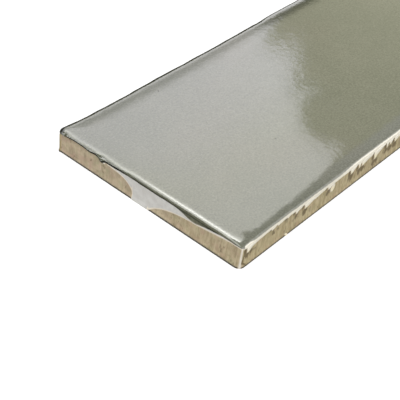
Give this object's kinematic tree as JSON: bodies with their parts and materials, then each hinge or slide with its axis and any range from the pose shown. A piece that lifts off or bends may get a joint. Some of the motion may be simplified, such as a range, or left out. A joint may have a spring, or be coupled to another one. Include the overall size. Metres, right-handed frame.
{
  "type": "subway wall tile",
  "caption": "Long ceramic wall tile with a rolled, gently wavy glazed face, bare clay edges with a flared foot, and shallow keys pressed into its back.",
  "frame": {"origin": "centre of the flat back, in the plane that the tile lies on", "axes": "+X along the tile's length, +Y across it, +Z out of the glazed face"},
  "size_m": [0.3, 0.075, 0.0095],
  "materials": {
    "glazed_clay": "glossy grey-olive glaze on the face and rim, bare beige clay on the edges and back"
  },
  "bodies": {
    "root": {"tile": "glazed_clay"}
  },
  "joints": []
}
